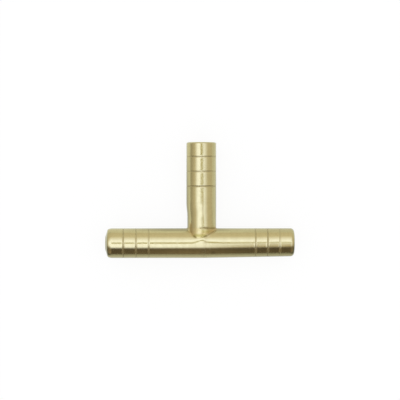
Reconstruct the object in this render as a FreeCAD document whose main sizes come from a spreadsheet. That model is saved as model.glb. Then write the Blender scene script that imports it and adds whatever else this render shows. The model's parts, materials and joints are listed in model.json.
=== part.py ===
import FreeCAD, Part
import Sketcher
import os

# Hose barb tee, fabricated from two thick-walled brass tubes.
# A straight run tube lies along X and a branch tube stands off it along +Y.
# The branch's foot is cut to a saddle that sits on the run, over a round port in the run's wall.
# A thin collar of brazing filler closes the seam. Every hose end carries three rolled rings.
# The run's two tips are domed by hand, and the branch's tip is only bevelled.
# The origin is where the two centrelines cross. The tee lies flat, with +Z up. Units are millimetres.

doc = FreeCAD.newDocument("hose_barb_tee")
sizes = doc.addObject("Spreadsheet::Sheet", "sizes")

DIMENSIONS = [
    # tube stock
    ("tube_od", 8.0, "outside diameter of both tubes, the hose size"),
    ("bore_dia", 3.5, "inside diameter of both tubes"),
    # how far each hose end reaches from the crossing of the centrelines
    ("left_reach", 25.68, "run, towards -X"),
    ("right_reach", 24.95, "run, towards +X"),
    ("branch_reach", 27.1, "branch, towards +Y"),
    # tips
    ("left_face_angle", 18, "the left end face is a cone, so many degrees off square"),
    ("right_face_angle", 4, "the right end face is a cone, so many degrees off square"),
    ("left_nose_round", 1.3, "outer rounding of the left tip"),
    ("right_nose_round", 1.0, "outer rounding of the right tip"),
    ("branch_bevel", 0.4, "outer bevel of the branch tip"),
    ("edge_break", 0.15, "bevel at each bore mouth"),
    ("tip_flat", 0.1, "least end face left between the outer rounding or bevel and the bore mouth's bevel"),
    # rolled rings
    ("ring_count", 3, "rings on each hose end"),
    ("left_first_ring", 4.85, "tip to first ring, left end"),
    ("left_ring_pitch", 3.4, "ring to ring, left end"),
    ("right_first_ring", 4.0, "tip to first ring, right end"),
    ("right_ring_pitch", 3.25, "ring to ring, right end"),
    ("branch_first_ring", 3.9, "tip to first ring, branch"),
    ("branch_ring_pitch", 3.95, "ring to ring, branch"),
    ("groove_width", 0.46, "ring groove, across, at the tube's surface"),
    ("groove_depth", 0.17, "ring groove, below the tube's surface"),
    # the right arm was dressed slimmer than the left, by a long shallow taper
    ("taper_start", 4.6, "start of the taper, left of the branch's centreline"),
    ("taper_end", 12.0, "end of the taper, right of the branch's centreline"),
    ("right_dressing", 0.17, "taken off the right arm's radius"),
    # the branch's neck was dressed slimmer above the joint
    ("neck_length", 3.8, "height of the dressed neck above the run"),
    ("neck_blend", 2.4, "taper from the neck up to the full tube"),
    ("neck_dressing", 0.1, "taken off the branch's radius at the top of the neck"),
    ("foot_dressing", 0.12, "taken off the branch's radius at its foot"),
    # brazing filler
    ("braze_rise", 0.2, "top of the filler above the run"),
    ("braze_rim", 0.04, "thickness of the filler at its top edge"),
    ("braze_shoulder", 0.12, "depth below the run's top at which the filler is thickest"),
    ("braze_reach", 0.24, "greatest thickness of the filler on the neck"),
    ("braze_toe", 0.03, "thickness of the filler at its lowest"),
]

for row, (alias, value, note) in enumerate(DIMENSIONS, start=1):
    sizes.set(f"A{row}", note)
    sizes.set(f"B{row}", str(value))
    sizes.setAlias(f"B{row}", alias)
doc.recompute()

# Radii and heights that several pieces share, as formulas of the sheet.
TUBE_R = "sizes.tube_od / 2"
BORE_R = "sizes.bore_dia / 2"
RIGHT_R = "(sizes.tube_od / 2 - sizes.right_dressing)"
NECK_R = "(sizes.tube_od / 2 - sizes.neck_dressing)"
FOOT_R = "(sizes.tube_od / 2 - sizes.foot_dressing)"
NECK_TOP = "(sizes.tube_od / 2 + sizes.neck_length)"
FULL_TUBE_FROM = "(sizes.tube_od / 2 + sizes.neck_length + sizes.neck_blend)"
MOUTH_R = "(sizes.bore_dia / 2 + sizes.edge_break)"
BRAZE_TOP = "(sizes.tube_od / 2 + sizes.braze_rise)"
BRAZE_WIDEST = "(sizes.tube_od / 2 - sizes.braze_shoulder)"
# The neck is a shallow cone that widens upwards from the run's centreline.
NECK_SLOPE = "((sizes.foot_dressing - sizes.neck_dressing) / (sizes.tube_od / 2 + sizes.neck_length))"


def neck_radius_at(height):
    return f"({FOOT_R} + {NECK_SLOPE} * {height})"


def new_body(name):
    body = doc.addObject("PartDesign::Body", name)
    body.Label = name
    return body


def origin_part(body, role):
    return next(part for part in body.Origin.OriginFeatures if part.Role == role)


def new_sketch(body, name, plane="XY_Plane"):
    sketch = body.newObject("Sketcher::SketchObject", name)
    sketch.AttachmentSupport = [(origin_part(body, plane), "")]
    sketch.MapMode = "FlatFace"
    return sketch


def bind(sketch, kind, places, formula):
    """A dimension of the sketch that follows a formula of the sheet."""
    value = sketch.evalExpression(formula)
    index = sketch.addConstraint(Sketcher.Constraint(kind, *places, value))
    sketch.setExpression(f"Constraints[{index}]", formula)


def pin_down(sketch, side, end, corner):
    """Hold one point of the sketch at its two distances from the origin."""
    along, across = corner[:2]
    bind(sketch, "DistanceX", (-1, 1, side, end), along)
    bind(sketch, "DistanceY", (-1, 1, side, end), across)


def round_side(sketch, start, end, radius):
    """An arc that bulges to the left of the way from start to end, and which end of it lies at start."""
    chord = end - start
    leftwards = FreeCAD.Vector(-chord.y, chord.x, 0).normalize()
    sagitta = radius - (radius**2 - (chord.Length / 2) ** 2) ** 0.5
    side = sketch.addGeometry(Part.Arc(start, (start + end) / 2 + leftwards * sagitta, end))
    to_first, to_second = (sketch.getPoint(side, which).distanceToPoint(start) for which in (1, 2))
    return side, 1 if to_first < to_second else 2


def outline(sketch, corners):
    """A closed outline. Each corner is its two distances from the origin, as formulas of the sheet.

    A third formula gives the radius of a bulging arc in place of the straight side to the next corner.
    """
    points = [FreeCAD.Vector(*[sketch.evalExpression(f) for f in corner[:2]], 0) for corner in corners]
    sides = []
    for corner, start, end in zip(corners, points, points[1:] + points[:1], strict=True):
        if len(corner) == 3:
            side, first = round_side(sketch, start, end, sketch.evalExpression(corner[2]))
        else:
            side, first = sketch.addGeometry(Part.LineSegment(start, end)), 1
        sides.append((side, first))
    for index, corner in enumerate(corners):
        side, first = sides[index]
        before, before_first = sides[index - 1]
        sketch.addConstraint(Sketcher.Constraint("Coincident", before, 3 - before_first, side, first))
        pin_down(sketch, side, first, corner)
        if len(corner) == 3:
            bind(sketch, "Radius", (side,), corner[2])


def turned(body, kind, name, sketch, axis):
    """A revolved feature of the body: a Revolution adds, a Groove cuts."""
    feature = body.newObject(kind, name)
    feature.Profile = sketch
    feature.ReferenceAxis = (sketch, [axis])
    feature.Angle = 360
    body.Tip = feature
    doc.recompute()
    return feature


def section_circle(sketch, along, across, radius):
    """A circle in the sketch, held by formulas for its centre and its radius."""
    centre = FreeCAD.Vector(sketch.evalExpression(along), sketch.evalExpression(across), 0)
    circle = Part.Circle(centre, FreeCAD.Vector(0, 0, 1), sketch.evalExpression(radius))
    side = sketch.addGeometry(circle)
    pin_down(sketch, side, 3, (along, across))
    bind(sketch, "Radius", (side,), radius)


def roll_rings(body, name, axis_name, first, surface, pitch, towards_plus):
    """Rings rolled into a hose end: one V-shaped groove, repeated inwards from the tip."""
    lengthwise = axis_name == "H_Axis"
    start, end = (f"({first} {sign} sizes.groove_width / 2)" for sign in "-+")
    clear_of_tube = f"({surface} + sizes.groove_depth)"
    corners = [
        (start, clear_of_tube),
        (start, surface),
        (first, f"({surface} - sizes.groove_depth)"),
        (end, surface),
        (end, clear_of_tube),
    ]
    sketch = new_sketch(body, f"{name}_groove_section")
    outline(sketch, [corner if lengthwise else corner[::-1] for corner in corners])
    groove = turned(body, "PartDesign::Groove", f"{name}_groove", sketch, axis_name)

    rings = body.newObject("PartDesign::LinearPattern", f"{name}_rings")
    rings.Originals = [groove]
    rings.Direction = (sketch, [axis_name])
    rings.Reversed = not towards_plus
    rings.setExpression("Occurrences", "sizes.ring_count")
    rings.setExpression("Length", f"{pitch} * (sizes.ring_count - 1)")
    body.Tip = rings
    doc.recompute()


def nose_rounding(outer, face_angle, nose_round):
    """A run tip's rounding, within its wall: where it starts, back from the tip and out from the axis,
    how far back it ends, and its radius."""
    wall = f"({outer} - {MOUTH_R} - sizes.tip_flat)"
    radius = f"min({nose_round}; {wall} / (1 - sin({face_angle})))"
    start_out = f"({outer} - {radius} * (1 - sin({face_angle})))"
    start_back = f"(tan({face_angle}) * ({start_out} - {MOUTH_R}))"
    end_back = f"({start_back} + {radius} * cos({face_angle}))"
    return start_back, start_out, end_back, radius


def run_outside():
    """Corners of the run's profile above the X axis, from one bore mouth over the outside to the other."""
    left_start, left_out, left_end, left_r = nose_rounding(
        TUBE_R, "sizes.left_face_angle", "sizes.left_nose_round"
    )
    right_start, right_out, right_end, right_r = nose_rounding(
        RIGHT_R, "sizes.right_face_angle", "sizes.right_nose_round"
    )
    return [
        ("sizes.edge_break - sizes.left_reach", BORE_R),
        ("-sizes.left_reach", MOUTH_R),
        (f"{left_start} - sizes.left_reach", left_out, left_r),
        (f"{left_end} - sizes.left_reach", TUBE_R),
        ("-sizes.taper_start", TUBE_R),
        ("sizes.taper_end", RIGHT_R),
        (f"sizes.right_reach - {right_end}", RIGHT_R, right_r),
        (f"sizes.right_reach - {right_start}", right_out),
        ("sizes.right_reach", MOUTH_R),
        ("sizes.right_reach - sizes.edge_break", BORE_R),
    ]


def cut_by_run(body, name):
    """Cut the run's outside away from the body, which leaves the saddle that sits on it."""
    sketch = new_sketch(body, f"{name}_section")
    outline(sketch, [("-sizes.left_reach", "0"), *run_outside(), ("sizes.right_reach", "0")])
    before = body.Shape.Volume
    turned(body, "PartDesign::Groove", name, sketch, "H_Axis")
    if not body.Shape.Volume < before:
        raise RuntimeError(f"{name} removed nothing")


def make_run_tube():
    """The straight tube, domed and ringed at both ends, with the side port under the branch."""
    body = new_body("run_tube")
    wall = new_sketch(body, "run_wall")
    outline(wall, run_outside())
    turned(body, "PartDesign::Revolution", "run_stock", wall, "H_Axis")
    roll_rings(
        body,
        "left",
        "H_Axis",
        "(sizes.left_first_ring - sizes.left_reach)",
        TUBE_R,
        "sizes.left_ring_pitch",
        towards_plus=True,
    )
    roll_rings(
        body,
        "right",
        "H_Axis",
        "(sizes.right_reach - sizes.right_first_ring)",
        RIGHT_R,
        "sizes.right_ring_pitch",
        towards_plus=False,
    )
    drill_port(body)
    return body


def drill_port(body):
    """The round port through the run's wall, on the branch's side only, drilled through the branch's bore."""
    sketch = new_sketch(body, "port_section", "XZ_Plane")
    section_circle(sketch, "0", "0", BORE_R)
    before = body.Shape.Volume
    port = body.newObject("PartDesign::Pocket", "port")
    port.Profile = sketch
    port.setExpression("Length", "sizes.tube_od")
    body.Tip = port
    doc.recompute()
    if body.Shape.CenterOfGravity.y > 0 or not body.Shape.Volume < before:
        port.Reversed = not port.Reversed
        doc.recompute()
    if body.Shape.CenterOfGravity.y > 0 or not body.Shape.Volume < before:
        raise RuntimeError("the port isn't on the branch's side")


def make_branch_tube():
    """The shorter tube, bevelled and ringed at its tip, slimmer at its neck, with a saddle for a foot."""
    body = new_body("branch_tube")
    bevel = f"min(sizes.branch_bevel; {TUBE_R} - {MOUTH_R} - sizes.tip_flat)"
    wall = new_sketch(body, "branch_wall")
    outline(
        wall,
        [
            (BORE_R, "0"),
            (FOOT_R, "0"),
            (NECK_R, NECK_TOP),
            (TUBE_R, FULL_TUBE_FROM),
            (TUBE_R, f"sizes.branch_reach - {bevel}"),
            (f"{TUBE_R} - {bevel}", "sizes.branch_reach"),
            (MOUTH_R, "sizes.branch_reach"),
            (BORE_R, "sizes.branch_reach - sizes.edge_break"),
        ],
    )
    turned(body, "PartDesign::Revolution", "branch_stock", wall, "V_Axis")
    cut_by_run(body, "saddle")
    roll_rings(
        body,
        "branch",
        "V_Axis",
        "(sizes.branch_reach - sizes.branch_first_ring)",
        TUBE_R,
        "sizes.branch_ring_pitch",
        towards_plus=False,
    )
    return body


def dress_flush(body):
    """Cut the filler back level with the tubes on the two sides that the tee can lie on."""
    sketch = new_sketch(body, "flush_section", "YZ_Plane")
    clear_of_filler = "(sizes.tube_od / 2 + sizes.braze_reach)"
    for sign in ("", "-"):
        outline(
            sketch,
            [
                ("0", f"{sign}{TUBE_R}"),
                (BRAZE_TOP, f"{sign}{TUBE_R}"),
                (BRAZE_TOP, f"{sign}{clear_of_filler}"),
                ("0", f"{sign}{clear_of_filler}"),
            ],
        )
    before = body.Shape.Volume
    flats = body.newObject("PartDesign::Pocket", "flush_flats")
    flats.Profile = sketch
    flats.Midplane = True
    flats.setExpression("Length", "2 * sizes.tube_od")
    body.Tip = flats
    doc.recompute()
    if not body.Shape.Volume < before:
        raise RuntimeError("the filler wasn't dressed flush")


def make_braze_fillet():
    """The collar of filler round the neck, thickest just below the run's top and seated on the run."""
    body = new_body("braze_fillet")
    section = new_sketch(body, "filler_section")
    outline(
        section,
        [
            (FOOT_R, "0"),
            (f"({FOOT_R} + sizes.braze_toe)", "0"),
            (f"({neck_radius_at(BRAZE_WIDEST)} + sizes.braze_reach)", BRAZE_WIDEST),
            (f"({neck_radius_at(BRAZE_TOP)} + sizes.braze_rim)", BRAZE_TOP),
            (neck_radius_at(BRAZE_TOP), BRAZE_TOP),
        ],
    )
    turned(body, "PartDesign::Revolution", "filler_ring", section, "V_Axis")
    cut_by_run(body, "filler_seat")
    dress_flush(body)
    return body


bodies = [make_run_tube(), make_branch_tube(), make_braze_fillet()]
doc.recompute()

for item in doc.Objects:
    if "Invalid" in item.State or "Error" in item.State:
        raise RuntimeError(f"{item.Name} failed: {item.State}")

os.makedirs("parts", exist_ok=True)
for body in bodies:
    shape = body.Shape
    if shape.isNull() or not shape.isValid() or len(shape.Solids) != 1:
        raise RuntimeError(f"{body.Label} isn't one sound solid")
    shape.exportStep(f"parts/{body.Label}.step")
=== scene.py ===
import json
import math

import bpy
import numpy as np
from mathutils import Matrix, Vector


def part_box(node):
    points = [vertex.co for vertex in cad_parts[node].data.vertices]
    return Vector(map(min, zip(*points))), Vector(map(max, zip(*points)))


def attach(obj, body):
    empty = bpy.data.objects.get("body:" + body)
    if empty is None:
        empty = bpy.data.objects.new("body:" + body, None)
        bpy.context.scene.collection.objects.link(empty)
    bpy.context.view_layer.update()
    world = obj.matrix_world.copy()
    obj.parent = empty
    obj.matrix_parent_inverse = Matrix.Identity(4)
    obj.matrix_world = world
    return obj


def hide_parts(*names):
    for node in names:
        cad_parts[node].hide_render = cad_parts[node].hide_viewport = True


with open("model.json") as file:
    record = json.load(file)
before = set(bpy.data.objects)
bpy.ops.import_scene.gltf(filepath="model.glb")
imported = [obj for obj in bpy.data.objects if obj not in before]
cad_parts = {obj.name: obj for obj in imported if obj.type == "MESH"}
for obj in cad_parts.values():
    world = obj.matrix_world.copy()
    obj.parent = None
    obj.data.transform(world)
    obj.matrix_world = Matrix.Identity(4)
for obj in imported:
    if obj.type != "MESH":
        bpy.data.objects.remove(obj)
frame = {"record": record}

bl_info = {
    "name": "Brass hose tee",
    "version": (1, 0, 0),
    "blender": (4, 5, 0),
    "location": "3D View > Sidebar > Hose tee",
    "description": "Polished tubes, brazed seam and studio for a three-way brass hose connector",
    "category": "Object",
}

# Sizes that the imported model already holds, in metres.
MM = 0.001
MOUNTS = {mount["name"]: mount for mount in frame["record"]["mounts"]}
RUN_LOW, RUN_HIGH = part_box("run_tube")
_, BRANCH_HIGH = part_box("branch_tube")
_, BRAZE_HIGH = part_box("braze_fillet")
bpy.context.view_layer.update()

TUBE_R = MOUNTS["hose_left"]["dims"]["r_mm"] * MM
BORE_R = MOUNTS["run_bore"]["dims"]["r_mm"] * MM

# The table's height: just under the built-up filler, which stands out most from the run.
TABLE = RUN_LOW[2] - 0.06 * MM


def length(default, text, least=0.0):
    """A length that a user may change, in metres."""
    return bpy.props.FloatProperty(
        name=text, description=text, default=default, min=least, unit="LENGTH", precision=5
    )


def number(default, text, least=0.0, most=1.0):
    """A plain number that a user may change."""
    return bpy.props.FloatProperty(name=text, description=text, default=default, min=least, max=most)


def colour(default, text):
    """A colour that a user may change."""
    return bpy.props.FloatVectorProperty(
        name=text, description=text, default=default, size=3, min=0.0, max=1.0, subtype="COLOR"
    )


def shares(default, text):
    """Three shares of a full size that a user may change, one for each ring of an end."""
    return bpy.props.FloatVectorProperty(
        name=text, description=text, default=default, size=3, min=0.0, max=1.5
    )


class TeeSizes(bpy.types.PropertyGroup):
    """Sizes of the tubes, their rings and the brazed seam."""

    bore_bevel: length(0.15 * MM, "Bevel at each bore mouth")
    left_face_angle: number(18.0, "Left end face, degrees off square", 0.0, 40.0)
    right_face_angle: number(4.0, "Right end face, degrees off square", 0.0, 40.0)
    left_nose: length(0.5 * MM, "Rounding of the left tip")
    left_crown: length(2.8 * MM, "Gentle rounding that leads from the left tip to the full tube")
    left_crown_angle: number(
        21.0, "How far round the left tip's gentle rounding goes, in degrees", 0.0, 60.0
    )
    right_nose: length(1.0 * MM, "Rounding of the right tip")
    branch_nose: length(0.8 * MM, "Rounding of the branch tip's bevel")
    branch_crown: length(0.15 * MM, "Rounding between the branch tip's bevel and the tube")
    branch_crown_angle: number(
        40.0, "How far round the branch tip's outer rounding goes, in degrees", 0.0, 60.0
    )
    left_first_ring: length(4.85 * MM, "Left tip to its first ring")
    left_pitch: length(3.4 * MM, "Ring to ring on the left end")
    right_first_ring: length(4.0 * MM, "Right tip to its first ring")
    right_pitch: length(3.25 * MM, "Ring to ring on the right end")
    branch_first_ring: length(3.9 * MM, "Branch tip to its first ring")
    branch_pitch: length(3.95 * MM, "Ring to ring on the branch")
    left_depths: shares((0.98, 0.85, 0.6), "How deep each left ring is rolled, from the tip")
    right_depths: shares((0.6, 1.15, 0.95), "How deep each right ring is rolled, from the tip")
    branch_depths: shares((0.75, 0.7, 1.0), "How deep each ring of the branch is rolled, from the tip")
    groove_width: length(0.46 * MM, "Width of a ring's groove")
    groove_depth: length(0.078 * MM, "Depth of a ring's groove")
    lip_width: length(0.22 * MM, "Width of the lip beside a groove")
    lip_height: length(0.012 * MM, "Height of the lip beside a groove")
    taper_start: length(-2.0 * MM, "Where the run starts to taper, along it from the crossing", -1.0)
    taper_end: length(24.0 * MM, "Where the run's taper ends, along it from the crossing")
    tip_r: length(3.79 * MM, "Radius at the right end of the taper")
    build_up: length(0.265 * MM, "Height of the filler on the run, at the branch's foot")
    neck_r: length(3.87 * MM, "Radius of the branch's dressed neck")
    neck_shift: length(0.12 * MM, "How far the neck's dressing leaves it off centre, to the right")
    neck_top: length(7.0 * MM, "Top of the branch's neck, from the run's centreline")
    neck_blend: length(4.0 * MM, "Taper from the neck to the full tube")


class BrassFinish(bpy.types.PropertyGroup):
    """Colours and gloss of the metal."""

    brass: colour((0.57, 0.475, 0.22), "Polished brass")
    brass_dull: colour((0.46, 0.37, 0.16), "Brass in its dull patches")
    filler: colour((0.60, 0.41, 0.15), "Brazing filler")
    filler_thin: colour((0.44, 0.35, 0.095), "Brazing filler worn thin over the brass")
    grime: colour((0.19, 0.13, 0.03), "Tarnish left in grooves and corners")
    roughness: number(0.17, "Roughness of the polish")


class Studio(bpy.types.PropertyGroup):
    """Camera, floor and lights."""

    eye_x: length(-6.0 * MM, "Camera over the table, along the run", -1.0)
    eye_y: length(24.0 * MM, "Camera over the table, along the branch", -1.0)
    eye_height: length(400.0 * MM, "Camera above the centrelines")
    aim_x: length(-0.35 * MM, "Middle of the picture, along the run", -1.0)
    aim_y: length(11.57 * MM, "Middle of the picture, along the branch", -1.0)
    picture_width: length(107.25 * MM, "Width of the picture at the centrelines")
    daylight: number(1.1, "Light that the floor gets from all round", 0.0, 10.0)
    room: colour((0.97, 0.97, 0.97), "Walls of the light tent")
    floor: colour((0.96, 0.96, 0.96), "Floor")
    floor_glow: number(0.9, "Share of the floor's white that no shadow darkens")
    softbox: colour((0.56, 0.64, 0.95), "Tint of the soft ring light")
    softbox_strength: number(3.1, "Strength of the soft ring light", 0.0, 10.0)
    curtain: colour((0.067, 0.057, 0.047), "Dark curtain in front of the run")
    # The card overhead glows in this colour, seen only in the polish: a painted reflection that draws the
    # dark line along each tube.
    gap: colour((0.64, 0.61, 0.24), "Dim card overhead, a painted reflection")


# Mesh work

# How many points a circle has: a row of a tube, and a plain round.
COLUMNS = 256
ROUND = 96

# Two faces meet in a crease where they turn by more than this, in degrees.
CREASE = 38


def closed_quads(grid):
    """Quads of a grid of points whose rows and columns both close on themselves."""
    rows, columns = grid.shape[:2]
    row = np.arange(rows)[:, None]
    column = np.arange(columns)[None, :]
    following_row = (row + 1) % rows
    following_column = (column + 1) % columns
    quads = np.stack(
        [
            row * columns + column,
            following_row * columns + column,
            following_row * columns + following_column,
            row * columns + following_column,
        ],
        axis=-1,
    )
    return quads.reshape(-1, 4)


def mesh_piece(name, grid, masks, outward):
    """A closed object from a grid of points, with its masks as point attributes. Its quads are turned round
    if they don't look outward."""
    quads = closed_quads(grid)
    if not outward:
        quads = quads[:, ::-1]
    mesh = bpy.data.meshes.new(name)
    mesh.from_pydata(grid.reshape(-1, 3).tolist(), [], quads.tolist())
    for mask, values in masks.items():
        layer = mesh.attributes.new(mask, "FLOAT", "POINT")
        spread = np.broadcast_to(values, grid.shape[:2])
        layer.data.foreach_set("value", np.ascontiguousarray(spread, dtype=np.float32).ravel())
    mesh.shade_smooth()
    mesh.set_sharp_from_angle(angle=math.radians(CREASE))
    mesh.update()
    piece = bpy.data.objects.new(name, mesh)
    bpy.context.scene.collection.objects.link(piece)
    return piece


def stops(start, end, step):
    """Evenly spaced values from start up to, and without, end."""
    count = max(1, round(abs(end - start) / step))
    return start + (end - start) * np.arange(count) / count


# How steep a groove's rounded sides are, and where its lips start, as a share of its half width.
GROOVE_POWER = 1.5
LIP_START = 0.8


def ring_shape(places, rings, sizes):
    """How far the surface stands out at each place along a tube: grooves with a low lip on each side."""
    shape = np.zeros_like(places)
    for ring, depth in rings:
        away = np.abs(places - ring)
        half = sizes.groove_width / 2
        groove = np.cos(np.clip(away / half, 0, 1) * math.pi / 2) ** GROOVE_POWER
        lip = np.clip((away - half * LIP_START) / sizes.lip_width, 0, 1)
        shape += depth * (sizes.lip_height * np.sin(lip * math.pi) ** 2 - sizes.groove_depth * groove)
    return shape


def near_rings(places, rings, reach):
    """A mask that is a ring's depth in its middle, and fades to 0 at a reach from it."""
    near = np.zeros_like(places)
    for ring, depth in rings:
        near = np.maximum(near, depth * np.clip(1 - np.abs(places - ring) / reach, 0, 1))
    return near


def ring_places(first, pitch, depths, inwards):
    """Each ring's place along the tube, with its depth as a share of the full one. Inwards is 1 or -1, the
    direction from the tip to the other rings."""
    return [(first + inwards * pitch * index, depth) for index, depth in enumerate(depths)]


# How far apart a tube's rows of points are: where it is plain, at the joint, and within reach of a ring.
PLAIN_STEP = 0.45 * MM
JOINT_STEP = 0.17 * MM
RING_STEP = 0.035 * MM
RING_REACH = 0.42 * MM

# Where the close rows of the joint start and end, along the run.
RUN_JOINT = (-4.6 * MM, 7.6 * MM)

# Heights over the run's centreline: where the rows of the branch's foot end, above which all rows are
# level, and where the close rows of its joint start and end.
FOOT_TOP = 5.0 * MM
BRANCH_JOINT = (5.2 * MM, 11.2 * MM)

# How far a tip's rounding keeps from the first row of the shaft behind it.
TIP_GAP = 0.1 * MM

# How far apart the rows of a bore are, and of an end face.
BORE_STEP = 2.5 * MM
FACE_STEP = 0.12 * MM

# How many rows each stretch has: a tip's nose, its crown, the bevel at a bore's mouth, the branch's foot
# above its saddle, and the seat from the bore to the foot's edge.
NOSE_ROWS = 18
CROWN_ROWS = 12
BEVEL_ROWS = 3
FOOT_ROWS = 28
SEAT_ROWS = 10

# How far from a ring's middle its tarnish reaches.
GROOVE_REACH = 0.3 * MM

# How far outside the bore's radius a row counts wholly as a tube's outside.
WALL_BLEND = 1.0 * MM


def shaft_places(start, end, rings, joint):
    """Places along a tube between its ends, close together at each ring and along the joint."""
    close = [(ring - RING_REACH, ring + RING_REACH, RING_STEP) for ring, _ in rings]
    places, here = [], start
    for low, high, step in sorted([*close, (*joint, JOINT_STEP)]):
        places += [stops(here, low, PLAIN_STEP), stops(low, high, step)]
        here = high
    return np.concatenate([*places, stops(here, end, PLAIN_STEP)])


def nose_points(tip, outer, face_angle, nose, sizes, inwards, crown=None, crown_angle=0.0):
    """A rounded tip from the bore's mouth to the full tube: places along the axis, and radii. The nose's
    rounding starts at the face, and a crown with a radius of its own may lead from it to the tube. Inwards
    is 1 or -1, the direction from the tip into the tube."""
    angle = math.radians(face_angle)
    mouth = BORE_R + sizes.bore_bevel
    knee = math.pi / 2 - math.radians(crown_angle)
    crown = crown or nose
    start_r = outer - nose * (math.sin(knee) - math.sin(angle)) - crown * (1 - math.sin(knee))
    face_r = stops(mouth, start_r, FACE_STEP)
    face_back = math.tan(angle) * (face_r - mouth)
    start_back = math.tan(angle) * (start_r - mouth)
    nose_turn = np.linspace(angle, knee, NOSE_ROWS)
    crown_turn = np.linspace(knee, math.pi / 2, CROWN_ROWS)[1:]
    turn = np.concatenate([nose_turn, crown_turn])
    nosed = np.minimum(turn, knee)
    crowned = np.maximum(turn, knee)
    arc_back = (
        start_back + nose * (math.cos(angle) - np.cos(nosed)) + crown * (math.cos(knee) - np.cos(crowned))
    )
    arc_r = start_r + nose * (np.sin(nosed) - math.sin(angle)) + crown * (np.sin(crowned) - math.sin(knee))
    bevel_r = stops(BORE_R, mouth, sizes.bore_bevel / BEVEL_ROWS)
    bevel_back = mouth - bevel_r
    back = np.concatenate([bevel_back, face_back, arc_back])
    return tip + inwards * back, np.concatenate([bevel_r, face_r, arc_r])


def around():
    """Angles round a tube, from its top, as far as half a turn each way."""
    angle = np.arange(COLUMNS) / COLUMNS * 2 * math.pi
    return np.where(angle > math.pi, angle - 2 * math.pi, angle)


def soft_step(value, start, end):
    """0 before start, 1 after end, and smooth between."""
    share = np.clip((value - start) / (end - start), 0, 1)
    return share * share * (3 - 2 * share)


# The share of the run's taper over which it sets in gently.
GENTLE = 0.25


def run_radius(x, sizes):
    """The run's outside without its rings and noses: full on the left, slimmer on the right."""
    share = np.clip((x - sizes.taper_start) / (sizes.taper_end - sizes.taper_start), 0, 1)
    eased = np.where(share < GENTLE, share ** 2 / (2 * GENTLE), share - GENTLE / 2) / (1 - GENTLE / 2)
    return TUBE_R + (sizes.tip_r - TUBE_R) * eased


# Lines along the seam and on the V of filler below the branch's foot. A point is in mm along the run and
# along the branch.
LEFT_SEAM = [(-2.87, 5.1), (-2.9, 3.5), (-2.4, 2.45), (-1.7, 1.75)]
RIGHT_SEAM = [(0.65, 1.8), (2.5, 2.8), (3.8, 3.5)]
RIM_LINE = [(-0.3, 4.2), (0.7, 4.25), (2.0, 4.15), (3.7, 4.05)]
V_BOTTOM = [(-1.7, 2.2), (-0.5, 2.2), (0.9, 2.3)]
V_RIGHT = [(0.9, 2.3), (2.2, 3.3)]
V_MIDDLE = [(0.5, 3.3), (1.6, 3.3)]
V_LEFT = [(-1.0, 3.6), (0.3, 3.5)]
BAND_SPOT = [(2.9, -2.3), (3.3, -2.3)]
DARK_SPOTS = [[(-1.95, 2.05), (-1.6, 1.8)], [(0.7, 1.95), (1.3, 2.15)], [(0.5, 4.3), (1.7, 4.2)]]
BARE_FILLER = [(3.7, 4.2), (3.6, 3.7), (0.3, 2.5)]

# Where the seam is tarnished, where it shows bare filler, and where the filler is worn thin: each line
# with its strength in its middle and the width in mm over which it fades.
STAINS = (
    (LEFT_SEAM, 0.42, 0.22),
    (RIGHT_SEAM, 0.5, 0.28),
    (RIM_LINE, 0.65, 0.27),
    (V_BOTTOM, 0.2, 0.45),
    (V_RIGHT, 0.15, 0.5),
    (BAND_SPOT, 0.5, 0.35),
    *((spot, 1.0, 0.3) for spot in DARK_SPOTS),
)
BARE_BANDS = ((BARE_FILLER, 1.0, 0.42), (LEFT_SEAM[:3], 0.85, 0.42))
THIN_BANDS = ((V_BOTTOM, 0.95, 0.5), (V_MIDDLE, 0.75, 0.6), (V_LEFT, 0.35, 0.6))


def near_line(x, y, line, width):
    """A mask that is 1 on a line of points in the plane of the two tubes, and fades over a width."""
    nearest = np.full(np.broadcast(x, y).shape, np.inf)
    for start, end in zip(line[:-1], line[1:]):
        start, run = np.array(start) * MM, (np.array(end) - np.array(start)) * MM
        share = np.clip(((x - start[0]) * run[0] + (y - start[1]) * run[1]) / (run @ run), 0, 1)
        away = np.hypot(x - start[0] - share * run[0], y - start[1] - share * run[1])
        nearest = np.minimum(nearest, away)
    return np.exp(-((nearest / (width * MM)) ** 2))


def strongest(x, y, lines):
    """At each point, the strongest of several lines' masks."""
    return np.maximum.reduce([strength * near_line(x, y, line, width) for line, strength, width in lines])


def seam_masks(grid):
    """The three masks of the seam, from each point's place along the run and along the branch."""
    x, y = grid[..., 0], grid[..., 1]
    bands = {"stain": STAINS, "bare": BARE_BANDS, "thin": THIN_BANDS}
    return {mask: strongest(x, y, lines) for mask, lines in bands.items()}


# The filler built up on the run: a heap in front of the branch's foot, and a low apron beside it. For
# the heap, its middle along the run and how far it spreads to the left and to the right. For the apron,
# between which places it rises and falls along the run. For both, their shares of the full height, and
# between which angles from the run's top towards the branch they rise and fall.
HEAP_MIDDLE = 0.45 * MM
HEAP_SPREADS = (1.65 * MM, 1.0 * MM)
APRON_RISE = (-2.8 * MM, -1.0 * MM)
APRON_FALL = (3.0 * MM, 6.5 * MM)
HEAP_SHARE = 0.83
APRON_SHARE = 0.17
FILLER_RISE = (-0.05, 0.42)
FILLER_FALL = (0.6, 1.2)


def built_up(x, angle, sizes):
    """How far filler builds the run up towards the foot of the branch. The angle is from the top towards the
    branch, and the underside is built up like the top."""
    from_top = np.where(np.abs(angle) > math.pi / 2, np.sign(angle) * math.pi - angle, angle)
    spread = np.where(x < HEAP_MIDDLE, *HEAP_SPREADS)
    heap = np.exp(-(((x - HEAP_MIDDLE) / spread) ** 2))
    apron = soft_step(x, *APRON_RISE) * (1 - soft_step(x, *APRON_FALL))
    across = soft_step(from_top, *FILLER_RISE) * (1 - soft_step(from_top, *FILLER_FALL))
    return sizes.build_up * (HEAP_SHARE * heap + APRON_SHARE * apron) * across


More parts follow.
